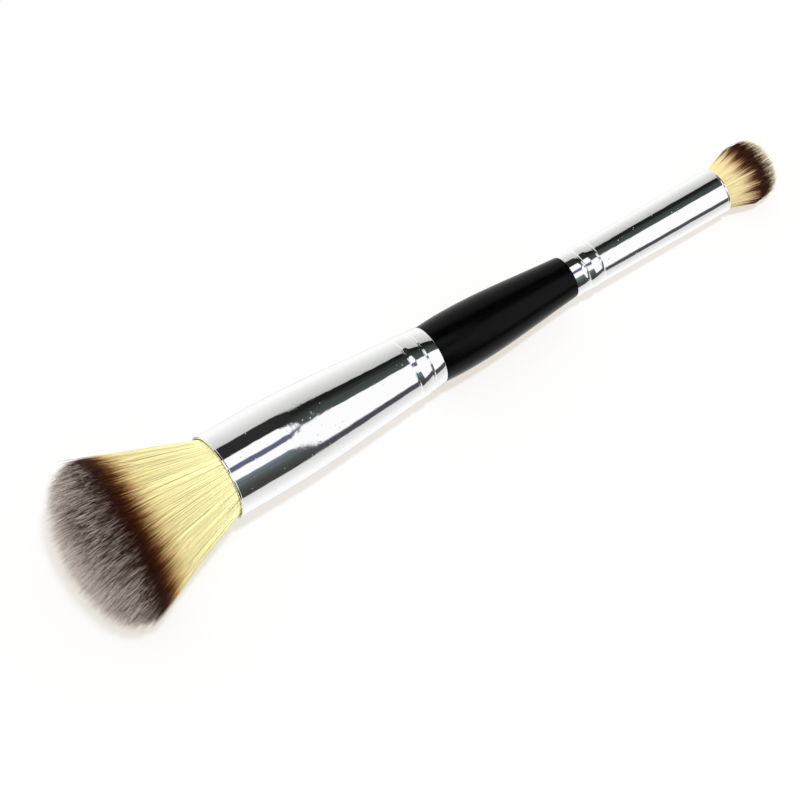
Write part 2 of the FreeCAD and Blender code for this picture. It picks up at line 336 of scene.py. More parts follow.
def bright_metal(name, marks_place):
    """Mirror plating with the faint waves of drawn sheet, dust, pits and the marks of the die."""
    material, tree, shader, place = finish_of(name)
    shader.inputs["Metallic"].default_value = 1.0
    along = node(tree, "ShaderNodeSeparateXYZ", place).outputs["X"]
    marks_x = LARGE_JOINT.x + marks_place * MM
    near = calc(tree, "ABSOLUTE", calc(tree, "SUBTRACT", along, marks_x))
    at_marks = remap(tree, near, *DIE_MARKS_REACH, 1.0, 0.0)
    waves = noise(tree, place, WAVE_SCALE, 2.0)
    scratch_place = node(tree, "ShaderNodeMapping", place)
    scratch_place.inputs["Scale"].default_value = SCRATCH_STRETCH
    scratches = noise(tree, scratch_place.outputs["Vector"], SCRATCH_SCALE, 3.0, 0.6)
    pits = node(tree, "ShaderNodeTexVoronoi", place)
    pits.inputs["Scale"].default_value = PIT_SCALE
    pit = remap(tree, pits.outputs["Distance"], *PIT_EDGE, 1.0, 0.0)
    groups = noise(tree, place, PIT_GROUPS_SCALE, 1.0)
    commoner = calc(tree, "MULTIPLY", at_marks, PIT_RARITY_LOST)
    rarity = calc(tree, "SUBTRACT", PIT_RARITY, commoner)
    chosen = remap(tree, calc(tree, "SUBTRACT", result(groups), rarity), 0.0, 0.04)
    pit = calc(tree, "MULTIPLY", pit, chosen)
    smear = noise(tree, place, SMEAR_SCALE, 3.0, 0.55)
    colour = graded(tree, pit, [(0.0, PLATING), (1.0, PLATING_PIT)])
    tree.links.new(colour, shader.inputs["Base Color"])
    worn = remap(tree, result(smear), 0.42, 0.72, *PLATING_ROUGHNESS, "LINEAR")
    worn = calc(tree, "ADD", worn, calc(tree, "MULTIPLY", pit, PIT_ROUGHNESS))
    tree.links.new(worn, shader.inputs["Roughness"])
    swell = calc(tree, "MULTIPLY", result(waves), WAVE_HEIGHT)
    dents = calc(tree, "ADD", result(scratches), result(noise(tree, place, DENT_SCALE, 2.0)))
    dented = calc(tree, "MULTIPLY", calc(tree, "MULTIPLY", dents, at_marks), DIE_MARK_DEPTH)
    brushed = calc(tree, "MULTIPLY", result(scratches), SCRATCH_DEPTH)
    height = calc(tree, "ADD", calc(tree, "ADD", swell, dented), brushed)
    height = calc(tree, "SUBTRACT", height, calc(tree, "MULTIPLY", pit, PIT_DEPTH))
    raised(tree, shader, height, 1.0, 1.0)
    return material


tube = drawn_tube(**LARGE_FERRULE)
large_ferrule = turned("large_ferrule_tube", [(-x, r) for x, r in tube], closed=True)
large_ferrule.data.materials.append(bright_metal("bright_plating_large", LARGE_PRESS_MARKS))
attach(large_ferrule, "root")
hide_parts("large_ferrule")

# ------------------------------------------------------------------------------ Small ferrule
# The tube that holds the small head, from the same sheet and with the same rolled rings and
# mouth, but narrower and almost straight.

SMALL_FERRULE = dict(length=42.8, joint=10.0, mouth=10.5, cone=36.0, blend=8.0)
SMALL_PRESS_MARKS = HANDLE_LENGTH + 12.0

tube = drawn_tube(**SMALL_FERRULE)
small_ferrule = turned(
    "small_ferrule_tube", [(HANDLE_LENGTH + x, r) for x, r in tube], closed=True
)
small_ferrule.data.materials.append(bright_metal("bright_plating_small", SMALL_PRESS_MARKS))
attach(small_ferrule, "root")
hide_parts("small_ferrule")

# -------------------------------------------------------------------------------- Resin plugs
# Cast resin behind the roots of each head, which binds the fibres and holds them in the
# ferrule. It set in place, so it fills the tube, and it isn't seen.

RESIN_ROUGHNESS = 0.25
RESIN_DARK = "8A6A34"
RESIN_PALE = "C9A868"
CLOUD_SCALE = 500
CLOUD_STRENGTH = 0.3
CLOUD_HEIGHT = 0.0001

resin, tree, shader, place = finish_of("amber_resin")
shader.inputs["Roughness"].default_value = RESIN_ROUGHNESS
cloud = noise(tree, place, CLOUD_SCALE, 4.0)
tone = graded(tree, result(cloud), [(0.0, paint(RESIN_DARK)), (1.0, paint(RESIN_PALE))])
tree.links.new(tone, shader.inputs["Base Color"])
raised(tree, shader, result(cloud), CLOUD_STRENGTH, CLOUD_HEIGHT)
for name in ("large_resin_plug", "small_resin_plug"):
    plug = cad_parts[name]
    plug.data.materials.clear()
    plug.data.materials.append(resin)

# --------------------------------------------------------------------------------- Large head
# A thick bundle of tapered synthetic fibres, set to flare into a dome. Each fibre is pale yellow,
# is dyed dark brown below its tip and bleached at the tip, so the bands follow the ends. Tips that
# end deep in the bundle and fibres at the front carry painted shade in their dye, and those at the
# back carry painted light. The fibres are one tree of Geometry Nodes round a solid middle of the
# same colours, darkened by painted shade.

GOLDEN_TURN = math.pi * (3 - math.sqrt(5))
FIBRE_SIDES = 3
FIBRE_RINGS = 4
LARGE_HEAD = {
    "Mouth": -LARGE_FERRULE["length"],
    "Way Out": -1.0,
    "Root Radius": 9.12,
    "Flare": math.tan(math.radians(20.1)),
    "Length": 38.0,
    "Dome Start": 24.0,
    "Dome Closing": 0.9938,
    "Dome Fullness": 2.2,
    "Lean": -1.6,
    "Overhang": 1.2,
    "Least End": 29.2,
    "Pressed Layer": 2.6,
    "Pressed Gap": 0.11,
    "Thickness": 0.13,
    "Tip Thickness": 0.09,
    "Taper Length": 6.6,
    "Tip Scatter": 7.2,
    "Clumping": 0.30,
    "Lock Scatter": 0.8,
    "Dye Wander": 6.0,
    "Outer Dye": 2.2,
    "Sunk Painted Shade": 0.6,
    "Middle Dye": 1.9,
    "Shoulder Dye": 1.9,
    "Front Painted Shade": 0.45,
    "Centre Bleach": 0.4,
    "Side Dye": 1.5,
    "Locks": 9.0,
    "Lock Bend": 1.3,
    "Stray": 1.1,
    "Fray": 0.34,
    "Tip Curl": 6.0,
}
LARGE_SEED = 11
LARGE_FIBRES = 33000
LARGE_OUTER_SHARE = 0.80  # fibres beyond this share of the bundle start inside the mouth
LARGE_OUTER_LENGTH = 44.0
LARGE_INNER_LENGTH = 8.5
LARGE_INNER_PIECES = 3
OUTER_RING_EASE = 2.3  # how much closer together a fibre's rings stand towards its tip
INNER_RING_EASE = 1.6
ROOTS_INSIDE = 1.5
LARGE_BLEACH_CHANGE = 3.2  # how much further the bleach has crept up some fibres than others
TONE_CHANGE = (1.20, 0.08)  # how much the fibres differ in tone, near the tip and near the mouth

# What the dye has done, as distances from the tip in millimetres and colours
LARGE_DYE = [
    (0.0, "FFF7EE"),
    (2.0, "EADCD0"),
    (2.85, "745648"),
    (3.5, "3A1C12"),
    (5.6, "3C1B0F"),
    (7.1, "552611"),
    (8.3, "8C5024"),
    (9.3, "DDAE66"),
    (10.7, "F8E6A8"),
    (13.0, "FFF5BF"),
    (40.0, "FFFFCC"),
]


# How the fibres of both heads differ from each other. A share is of the bundle's radius.
SHARE_JITTER = 0.014
LEAST_SHARE = 0.001
TURN_JITTER = 0.12
FINE_LOCKS = 3.1  # these three as multiples of the number of locks
CLUMPS = 7.5
TONE_STREAKS = 6.5
LOCK_MIX = (0.6, 0.4)  # coarse locks and fine ones
LOCK_EDGES = (0.35, 0.65)
CLUMP_EDGES = (0.34, 0.70)
SHORT_POWER = 1.8  # the higher, the fewer fibres end far short
BEND_POWER = 1.5
STRAY_POWER = 14.0  # the higher, the fewer fibres stray far
STRAY_FAR = 5.0
STRAY_NEAR = 0.6
SKIN_SHARE = 0.945  # how near the dome's outline the outermost fibres lie, and its spread
SKIN_SPREAD = 0.075
SKIN_BLEND = 0.8
FRAY_MIDDLE = 0.6
CURLED_PART = 0.45  # of the taper
TAPER_POWER = 1.35
THICKNESS_SPREAD = (0.8, 0.4)  # the least, and what chance adds

# Where the dye's changes begin and end, in millimetres from the tip or in shares
WANDER_FADE = (0.5, 4.0)
OUTER_FADE = (0.8, 4.0)
OUTER_SHARE = 0.35
SIDE_FADE = (2.0, 5.0)
# How much painted shade the tips that end deep in the bundle get, by share of the bundle
SUNK_SHADE_SHARES = (0.05, 0.55, 0.25, 1.0)
CENTRE_SHARES = (0.15, 0.65, 1.0, 0.0)
TONE_EDGES = (0.36, 0.64)
TONE_MIX = (0.72, 0.28)  # from the streak and from the single fibre

# How the dye's map is laid out, so that no face of it has no area
MAP_ALONG = 0.98
MAP_TONE = 0.97
MAP_WIDTH = 0.02


def tuft_of_fibres():
    """The tree that makes a bundle of fibres: each starts in the mouth, flares and ends at the
    dome. Its lengths are in millimetres along the brush axis until it lays the bundle down."""
    tree = bpy.data.node_groups.new("tuft_of_fibres", "GeometryNodeTree")
    tree.interface.new_socket("Fibres", in_out="OUTPUT", socket_type="NodeSocketGeometry")
    inside = tree.nodes.new("NodeGroupInput")
    outside = tree.nodes.new("NodeGroupOutput")
    for name in ("Bundle", "First", "Count", "Seed"):
        tree.interface.new_socket(name, in_out="INPUT", socket_type="NodeSocketInt")
    for name in (*LARGE_HEAD, "Fibre Length", "Ring Ease", "Roots Inside", "Longest"):
        tree.interface.new_socket(name, in_out="INPUT", socket_type="NodeSocketFloat")
    tree.interface.new_socket("Dyed Fibre", in_out="INPUT", socket_type="NodeSocketMaterial")
    given = inside.outputs

    def m(operation, *values):
        return calc(tree, operation, *values)

    def plus(a, b):
        return m("ADD", a, b)

    def less(a, b):
        return m("SUBTRACT", a, b)

    def times(a, b):
        return m("MULTIPLY", a, b)

    def over(a, b):
        return m("DIVIDE", a, b)

    def power(a, b):
        return m("POWER", a, b)

    def random(salt):
        made = node(tree, "FunctionNodeRandomValue", data_type="FLOAT")
        tree.links.new(strand, made.inputs["ID"])
        tree.links.new(plus(given["Seed"], salt), made.inputs["Seed"])
        return result(made)

    def kept_at_points(shape, name):
        made = node(
            tree, "GeometryNodeStoreNamedAttribute", shape, data_type="FLOAT", domain="POINT"
        )
        made.inputs["Name"].default_value = name
        return made

    strip = node(tree, "GeometryNodeResampleCurve")
    line = node(tree, "GeometryNodeCurvePrimitiveLine", mode="POINTS")
    line.inputs["End"].default_value = (1, 0, 0)
    tree.links.new(result(line), strip.inputs["Curve"])
    strip.inputs["Count"].default_value = FIBRE_RINGS
    starts = node(tree, "GeometryNodePoints", given["Count"])
    copies = node(tree, "GeometryNodeInstanceOnPoints", result(starts))
    tree.links.new(result(strip), copies.inputs["Instance"])
    lines = result(node(tree, "GeometryNodeRealizeInstances", result(copies)))

    index = result(node(tree, "GeometryNodeInputIndex"))
    number = m("FLOOR", over(plus(index, 0.5), FIBRE_RINGS))
    step = over(less(index, times(number, FIBRE_RINGS)), FIBRE_RINGS - 1)
    strand = plus(number, given["First"])

    # Where the fibre stands in the bundle
    share = m("SQRT", over(plus(strand, 0.5), given["Bundle"]))
    share = m("MINIMUM", plus(share, times(less(random(1), 0.5), SHARE_JITTER)), 1.0)
    share = m("MAXIMUM", share, LEAST_SHARE)
    turn = plus(times(strand, GOLDEN_TURN), times(random(2), TURN_JITTER))
    aside, up = m("COSINE", turn), m("SINE", turn)
    spot = result(node(tree, "ShaderNodeCombineXYZ", times(share, aside), times(share, up), 0.0))
    locks = noise(tree, spot, 1.0, 1.0)
    tree.links.new(given["Locks"], locks.inputs["Scale"])
    fine = noise(tree, spot, 1.0, 1.0)
    tree.links.new(times(given["Locks"], FINE_LOCKS), fine.inputs["Scale"])

    # Where it ends: on the dome, or short of it
    dome = power(less(1.0, times(share, share)), over(1.0, given["Dome Fullness"]))
    dome = m("MINIMUM", over(dome, given["Dome Closing"]), 1.0)
    rounding = less(given["Length"], given["Dome Start"])
    end = plus(given["Dome Start"], times(rounding, dome))
    end = plus(end, times(power(share, 3.0), given["Overhang"]))
    end = m("MINIMUM", m("MAXIMUM", end, given["Least End"]), given["Length"])
    clump = noise(tree, spot, 1.0, 1.0)
    tree.links.new(times(given["Locks"], CLUMPS), clump.inputs["Scale"])
    apart = times(remap(tree, result(clump), *CLUMP_EDGES), given["Clumping"])
    alone = times(power(random(3), SHORT_POWER), less(1.0, given["Clumping"]))
    short = times(plus(alone, apart), given["Tip Scatter"])
    both = plus(times(result(locks), LOCK_MIX[0]), times(result(fine), LOCK_MIX[1]))
    lock = times(remap(tree, both, *LOCK_EDGES), given["Lock Scatter"])
    end = less(less(end, short), lock)
    start = m("MAXIMUM", less(end, given["Fibre Length"]), times(given["Roots Inside"], -1.0))
    eased = less(1.0, power(less(1.0, step), given["Ring Ease"]))
    out = plus(start, times(less(end, start), eased))
    to_tip = less(end, out)

    # How it bends on the way
    grown = m("MAXIMUM", over(out, given["Length"]), 0.0)
    bent = times(power(grown, BEND_POWER), given["Lock Bend"])
    loose = times(power(random(6), STRAY_POWER), STRAY_FAR)
    loose = times(plus(loose, STRAY_NEAR), given["Stray"])
    loose = times(times(grown, grown), loose)
    drift = node(tree, "ShaderNodeSeparateXYZ", locks.outputs["Color"])
    side = plus(given["Root Radius"], times(given["Flare"], out))
    rise = over(m("MAXIMUM", less(out, given["Dome Start"]), 0.0), rounding)
    rise = m("MINIMUM", times(rise, given["Dome Closing"]), 0.999)
    skin_radius = m("SQRT", less(1.0, power(rise, given["Dome Fullness"])))
    skin_radius = times(times(side, skin_radius), plus(SKIN_SHARE, times(random(9), SKIN_SPREAD)))
    radius = m("SMOOTH_MIN", times(share, side), skin_radius, SKIN_BLEND)
    frayed = times(less(random(10), FRAY_MIDDLE), given["Fray"])
    frayed = times(frayed, power(share, 6.0))
    radius = times(radius, plus(1.0, times(frayed, power(grown, 3.0))))
    curled = m("MINIMUM", over(to_tip, times(given["Taper Length"], CURLED_PART)), 1.0)
    curled = times(less(1.0, curled), given["Tip Curl"])
    curled = times(curled, power(less(1.0, times(share, share)), 2.0))
    clump_way = node(tree, "ShaderNodeSeparateXYZ", clump.outputs["Color"])
    across = []
    for way, axis, salt in ((aside, "X", 4), (up, "Y", 5)):
        offset = times(less(drift.outputs[axis], 0.5), bent)
        own = times(less(random(salt), 0.5), loose)
        curl = times(less(clump_way.outputs[axis], 0.5), curled)
        across.append(plus(plus(times(radius, way), offset), plus(own, curl)))
    y = plus(across[0], times(times(grown, grown), given["Lean"]))
    x = plus(given["Mouth"], times(given["Way Out"], out))

    # Laid down: the ground presses the lowest fibres together
    straight = result(node(tree, "ShaderNodeCombineXYZ", x, y, across[1]))
    tilted = node(tree, "ShaderNodeVectorRotate", rotation_type="Y_AXIS")
    tree.links.new(straight, tilted.inputs["Vector"])
    tilted.inputs["Angle"].default_value = LYING_TURN
    placed = node(tree, "ShaderNodeVectorMath", result(tilted), LARGE_JOINT / MM, operation="ADD")
    parts = node(tree, "ShaderNodeSeparateXYZ", result(placed))
    height = parts.outputs["Z"]
    layer = given["Pressed Layer"]
    pressed = m("EXPONENT", over(less(height, layer), layer))
    pressed = times(m("MINIMUM", pressed, 1.0), layer)
    pressed = plus(pressed, times(less(1.0, over(pressed, layer)), given["Pressed Gap"]))
    low = m("LESS_THAN", height, layer)
    height = plus(times(low, pressed), times(less(1.0, low), height))
    lying = node(tree, "ShaderNodeCombineXYZ", parts.outputs["X"], parts.outputs["Y"], height)
    metres = node(tree, "ShaderNodeVectorMath", result(lying), operation="SCALE")
    metres.inputs["Scale"].default_value = MM
    set_place = node(tree, "GeometryNodeSetPosition", lines)
    tree.links.new(metres.outputs["Vector"], set_place.inputs["Position"])

    # How thick it is: tapered to a fine tip
    taper = power(m("MINIMUM", over(to_tip, given["Taper Length"]), 1.0), TAPER_POWER)
    thick = plus(given["Tip Thickness"], times(less(1.0, given["Tip Thickness"]), taper))
    thick = times(times(thick, given["Thickness"]), MM / 2)
    least, spread = THICKNESS_SPREAD
    thick = times(thick, plus(least, times(random(7), spread)))

    # The dye's map: along it the distance from the tip, shifted by the dye's changes and by
    # painted shade, across it the fibre's own tone
    dye = kept_at_points(result(set_place), "from_tip")
    wander = times(less(both, 0.5), given["Dye Wander"])
    dyed_at = plus(to_tip, times(wander, remap(tree, to_tip, *WANDER_FADE)))
    outer = less(power(share, 4.0), OUTER_SHARE)
    outer = times(times(outer, given["Outer Dye"]), remap(tree, to_tip, *OUTER_FADE))
    # Tips that end short, deep in the bundle, are dyed further into the brown: painted shade
    # between the fibres.
    dye_and_shade_shift = times(times(short, given["Sunk Painted Shade"]), remap(tree, share, *SUNK_SHADE_SHARES))
    upper = m("MAXIMUM", up, 0.0)
    midway = times(m("SQRT", share), less(1.0, power(share, 2.5)))
    midway = times(midway, power(upper, 3.0))
    dye_and_shade_shift = plus(dye_and_shade_shift, times(midway, given["Middle Dye"]))
    dye_and_shade_shift = plus(dye_and_shade_shift, times(power(share, 12.0), given["Shoulder Dye"]))
    # Fibres at the front are dyed further into the brown and those at the back less: painted shade
    # at the front, painted light at the back.
    dye_and_shade_shift = less(dye_and_shade_shift, times(times(aside, share), given["Front Painted Shade"]))
    central = remap(tree, share, *CENTRE_SHARES)
    dye_and_shade_shift = less(dye_and_shade_shift, times(central, given["Centre Bleach"]))
    low_side = times(less(1.0, upper), given["Side Dye"])
    low_side = times(times(low_side, share), remap(tree, to_tip, *SIDE_FADE))
    dyed_at = less(plus(plus(dyed_at, outer), dye_and_shade_shift), low_side)
    dyed_at = m("MINIMUM", m("MAXIMUM", over(dyed_at, given["Longest"]), 0.0), 1.0)
    tree.links.new(dyed_at, dye.inputs["Value"])
    tone = kept_at_points(result(dye), "own_tone")
    hair = noise(tree, spot, 1.0, 1.0)
    tree.links.new(times(given["Locks"], TONE_STREAKS), hair.inputs["Scale"])
    streak = times(remap(tree, result(hair), *TONE_EDGES), TONE_MIX[0])
    own = plus(streak, times(random(8), TONE_MIX[1]))
    tree.links.new(own, tone.inputs["Value"])
    rim = node(tree, "GeometryNodeCurvePrimitiveCircle", mode="RADIUS")
    rim.inputs["Resolution"].default_value = FIBRE_SIDES
    rim.inputs["Radius"].default_value = 1.0
    rim_index = result(node(tree, "GeometryNodeInputIndex"))
    mark = kept_at_points(result(rim), "round_it")
    tree.links.new(over(rim_index, FIBRE_SIDES - 1), mark.inputs["Value"])
    skin = node(tree, "GeometryNodeCurveToMesh", result(tone), result(mark))
    tree.links.new(thick, skin.inputs["Scale"])
    skin.inputs["Fill Caps"].default_value = True
    named = {}
    for name in ("from_tip", "own_tone", "round_it"):
        read = node(tree, "GeometryNodeInputNamedAttribute", data_type="FLOAT")
        read.inputs["Name"].default_value = name
        named[name] = result(read)
    peak = times(times(named["round_it"], less(1.0, named["round_it"])), MAP_WIDTH)
    u = plus(times(named["from_tip"], MAP_ALONG), peak)
    v = plus(times(named["own_tone"], MAP_TONE), times(named["round_it"], MAP_WIDTH))
    uv = node(
        tree, "GeometryNodeStoreNamedAttribute", result(skin), data_type="FLOAT2", domain="CORNER"
    )
    uv.inputs["Name"].default_value = "OFBake"
    tree.links.new(result(node(tree, "ShaderNodeCombineXYZ", u, v, 0.0)), uv.inputs["Value"])
    shape = result(uv)
    for name in named:
        drop = node(tree, "GeometryNodeRemoveAttribute", shape)
        drop.inputs["Name"].default_value = name
        shape = result(drop)
    shape = result(node(tree, "GeometryNodeSetShadeSmooth", shape))
    shape = result(node(tree, "GeometryNodeRealizeInstances", shape))
    dyed = node(tree, "GeometryNodeSetMaterial", shape)
    tree.links.new(given["Dyed Fibre"], dyed.inputs["Material"])
    tree.links.new(result(dyed), outside.inputs[0])
    return tree


def fibres(name, tree, sizes, seed, bundle, first, count, length, ease, material, node_name):
    """One piece of a head: the fibres from first on, as a plain mesh."""
    holder = bpy.data.objects.new(name + "_holder", bpy.data.meshes.new(name + "_holder"))
    bpy.context.scene.collection.objects.link(holder)
    bundle_of = holder.modifiers.new("Fibres", "NODES")
    bundle_of.node_group = tree
    values = dict(sizes)
    values.update(
        {
            "Bundle": bundle,
            "First": first,
            "Count": count,
            "Seed": seed,
            "Fibre Length": length,
            "Ring Ease": ease,
            "Roots Inside": ROOTS_INSIDE,
            "Longest": length,
            "Dyed Fibre": material,
        }
    )
    for socket in tree.interface.items_tree:
        if socket.in_out == "INPUT":
            bundle_of[socket.identifier] = values[socket.name]
    made = holder.evaluated_get(bpy.context.evaluated_depsgraph_get())
    mesh = bpy.data.meshes.new_from_object(made)
    mesh.name = name
    bpy.data.objects.remove(holder)
    piece = bpy.data.objects.new(name, mesh)
    bpy.context.scene.collection.objects.link(piece)
    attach(piece, "root")
    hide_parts(node_name)


FIBRE_ROUGHNESS = 0.45
FIBRE_GLOSS = 0.12
FIBRE_WANDER_SCALE = 90.0
FIBRE_WANDER = 4.0  # millimetres that one fibre's bands may stand out of line
MIDDLE_TONE = (0.52, 0.55)  # the fibre's own tone at which the bleach and the tone don't change
TONE_FADE = (4.5, 10.0)


def dyed_fibre(name, dye, longest, bleach_change):
    """The fibre's finish, from its dye map alone, so that it is the same on every fibre."""
    material = bpy.data.materials.new(name)
    material.use_nodes = True
    tree = material.node_tree
    shader = tree.nodes["Principled BSDF"]
    shader.inputs["Roughness"].default_value = FIBRE_ROUGHNESS
    shader.inputs["Specular IOR Level"].default_value = FIBRE_GLOSS
    dye_map = node(tree, "ShaderNodeUVMap", uv_map="OFBake")
    parts = node(tree, "ShaderNodeSeparateXYZ", dye_map.outputs["UV"])
    along, own = parts.outputs["X"], parts.outputs["Y"]
    bleach_middle, tone_middle = MIDDLE_TONE
    wander = noise(tree, own, FIBRE_WANDER_SCALE, 2.0, 0.6, "1D")
    wander = calc(tree, "SUBTRACT", result(wander), 0.5)
    shift = calc(tree, "MULTIPLY", wander, FIBRE_WANDER / longest)
    bleached = calc(tree, "SUBTRACT", bleach_middle, own)
    bleached = calc(tree, "MULTIPLY", bleached, bleach_change / longest)
    shift = calc(tree, "MULTIPLY", shift, remap(tree, along, 0.0, 2.0 / longest))
    shift = calc(tree, "ADD", shift, bleached)
    stops = [(d / longest * MAP_ALONG, paint(code)) for d, code in dye if d <= longest]
    banded = graded(tree, calc(tree, "ADD", along, shift), stops)
    contrast = remap(tree, along, *[d / longest for d in TONE_FADE], *TONE_CHANGE)
    value = calc(tree, "MULTIPLY", calc(tree, "SUBTRACT", own, tone_middle), contrast)
    value = calc(tree, "ADD", 1.0, value)
    toned = node(tree, "ShaderNodeHueSaturation")
    tree.links.new(value, toned.inputs["Value"])
    tree.links.new(banded, toned.inputs["Color"])
    tree.links.new(toned.outputs["Color"], shader.inputs["Base Color"])
    return material


tuft = tuft_of_fibres()
large_outer_fibre = dyed_fibre(
    "dyed_fibre_large_outer", LARGE_DYE, LARGE_OUTER_LENGTH, LARGE_BLEACH_CHANGE
)
large_inner_fibre = dyed_fibre(
    "dyed_fibre_large_inner", LARGE_DYE, LARGE_INNER_LENGTH, LARGE_BLEACH_CHANGE
)
inner_count = int(LARGE_FIBRES * LARGE_OUTER_SHARE) // LARGE_INNER_PIECES
for piece_number in range(LARGE_INNER_PIECES):
    fibres(
        "large_head_inner_fibres_%d" % (piece_number + 1),
        tuft,
        LARGE_HEAD,
        LARGE_SEED,
        LARGE_FIBRES,
        piece_number * inner_count,
        inner_count,
        LARGE_INNER_LENGTH,
        INNER_RING_EASE,
        large_inner_fibre,
        "large_head",
    )
outer_first = inner_count * LARGE_INNER_PIECES
fibres(
    "large_head_outer_fibres",
    tuft,
    LARGE_HEAD,
    LARGE_SEED,
    LARGE_FIBRES,
    outer_first,
    LARGE_FIBRES - outer_first,
    LARGE_OUTER_LENGTH,
    OUTER_RING_EASE,
    large_outer_fibre,
    "large_head",
)

# The middle of the bundle, where the fibres lie so close that nothing shows between them. Its
# colours are the fibres' own, darkened: painted shade deep in the bundle.
LARGE_MIDDLE_SHARE = 0.885
LARGE_MIDDLE_INSET = 4.8
LARGE_MIDDLE_DYE = (0.0175, 0.0215)  # metres from the mouth, where the brown begins and is full
MIDDLE_STEPS = 14
MIDDLE_ROOT_STEPS = 6
MIDDLE_START = 0.6  # how much of the inset its dome starts nearer the mouth
MIDDLE_LOWEST = 0.0009  # metres over the ground
MIDDLE_ROUGHNESS = 0.7
# The fibres' bands, darkened by painted shade as deep in the bundle
MIDDLE_DYE_IN_SHADE = ("E0CE8C", "7A4A26", "2A170F")
STREAK_SCALE = 2400
STREAK_STRETCH = (0.06, 1.0, 1.0)
STREAK_WANDER = 0.006
STREAK_STRENGTH = 0.6
STREAK_HEIGHT = 0.0002


def bundle_middle(name, sizes, share, inset, material, node_name):
    """A smooth body under the fibres, from inside the mouth to below the dome."""
    mouth, way = sizes["Mouth"], sizes["Way Out"]
    start, length = sizes["Dome Start"] - inset * MIDDLE_START, sizes["Length"] - inset
    outline = [(mouth - way * ROOTS_INSIDE, 0)]
    stations = [
        -ROOTS_INSIDE + (start + ROOTS_INSIDE) * i / MIDDLE_ROOT_STEPS
        for i in range(MIDDLE_ROOT_STEPS + 1)
    ]
    stations += [
        start + (length - start) * math.sin(math.pi / 2 * i / MIDDLE_STEPS)
        for i in range(1, MIDDLE_STEPS)
    ]
    for out in stations:
        side = share * (sizes["Root Radius"] + sizes["Flare"] * out)
        rise = max(out - start, 0) / (length - start)
        outline.append((mouth + way * out, side * math.sqrt(1 - rise ** sizes["Dome Fullness"])))
    outline.append((mouth + way * length, 0))
    piece = turned(name, outline)
    for vertex in piece.data.vertices:
        vertex.co.z = max(vertex.co.z, MIDDLE_LOWEST)
    piece.data.materials.append(material)
    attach(piece, "root")
    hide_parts(node_name)


def shaded_bundle_finish(name, mouth_x, way, dye_start, dye_end):
    """Close fibres seen as streaks: yellow near the mouth, dark brown beyond, both darkened as
    painted shade deep in the bundle.
    """
    material, tree, shader, place = finish_of(name)
    shader.inputs["Roughness"].default_value = MIDDLE_ROUGHNESS
    along = node(tree, "ShaderNodeSeparateXYZ", place).outputs["X"]
    out = calc(tree, "MULTIPLY", calc(tree, "SUBTRACT", along, mouth_x), way)
    streak_place = node(tree, "ShaderNodeMapping", place)
    streak_place.inputs["Scale"].default_value = STREAK_STRETCH
    streaks = noise(tree, streak_place.outputs["Vector"], STREAK_SCALE, 2.0)
    wander = calc(tree, "SUBTRACT", result(streaks), 0.5)
    wander = calc(tree, "MULTIPLY", wander, STREAK_WANDER)
    share = remap(tree, calc(tree, "ADD", out, wander), dye_start, dye_end)
    stops = [(i / 2, paint(code)) for i, code in enumerate(MIDDLE_DYE_IN_SHADE)]
    banded = graded(tree, share, stops)
    tree.links.new(banded, shader.inputs["Base Color"])
    raised(tree, shader, result(streaks), STREAK_STRENGTH, STREAK_HEIGHT)
    return material


large_mouth_x = LARGE_JOINT.x + LARGE_HEAD["Mouth"] * MM
bundle_middle(
    "large_head_middle",
    LARGE_HEAD,
    LARGE_MIDDLE_SHARE,
    LARGE_MIDDLE_INSET,
    shaded_bundle_finish("close_fibres_shaded_large", large_mouth_x, -1.0, *LARGE_MIDDLE_DYE),
    "large_head",
)

# --------------------------------------------------------------------------------- Small head
# The same fibre in a short rounded bundle. Its fibres end more unevenly, so that the brown shows
# as a few pointed locks.

SMALL_HEAD = dict(LARGE_HEAD)
SMALL_HEAD.update(
    {
        "Mouth": HANDLE_LENGTH + SMALL_FERRULE["length"],
        "Way Out": 1.0,
        "Root Radius": 4.72,
        "Flare": math.tan(math.radians(19.5)),
        "Length": 15.3,
        "Dome Start": 2.0,
        "Dome Closing": 0.9912,
        "Lean": 0.2,
        "Overhang": 3.0,
        "Least End": 13.9,
        "Pressed Layer": 1.2,
        "Thickness": 0.11,
        "Tip Thickness": 0.10,
        "Taper Length": 4.5,
        "Tip Scatter": 2.4,
        "Dye Wander": 12.0,
        "Outer Dye": 0.6,
        "Sunk Painted Shade": 0.4,
        "Middle Dye": 0.0,
        "Shoulder Dye": 0.0,
        "Front Painted Shade": 0.0,
        "Centre Bleach": 1.6,
        "Side Dye": 0.0,
        "Locks": 2.5,
        "Lock Bend": 1.2,
        "Stray": 0.6,
        "Fray": 0.32,
        "Tip Curl": 3.0,
    }
)
SMALL_SEED = 23
SMALL_FIBRES = 8800
SMALL_LENGTH = 17.0
SMALL_BLEACH_CHANGE = 3.0
SMALL_MIDDLE_SHARE = 0.78
SMALL_MIDDLE_INSET = 4.6
SMALL_MIDDLE_DYE = (0.0055, 0.0080)
SMALL_DYE = [
    (0.0, "FFF6DC"),
    (1.2, "F4E6C4"),
    (1.9, "8A6A52"),
    (2.6, "381D12"),
    (6.4, "3A1C10"),
    (7.2, "7A4A30"),
    (8.3, "D2B488"),
    (9.7, "F1E0AC"),
    (17.0, "F8EFBC"),
]

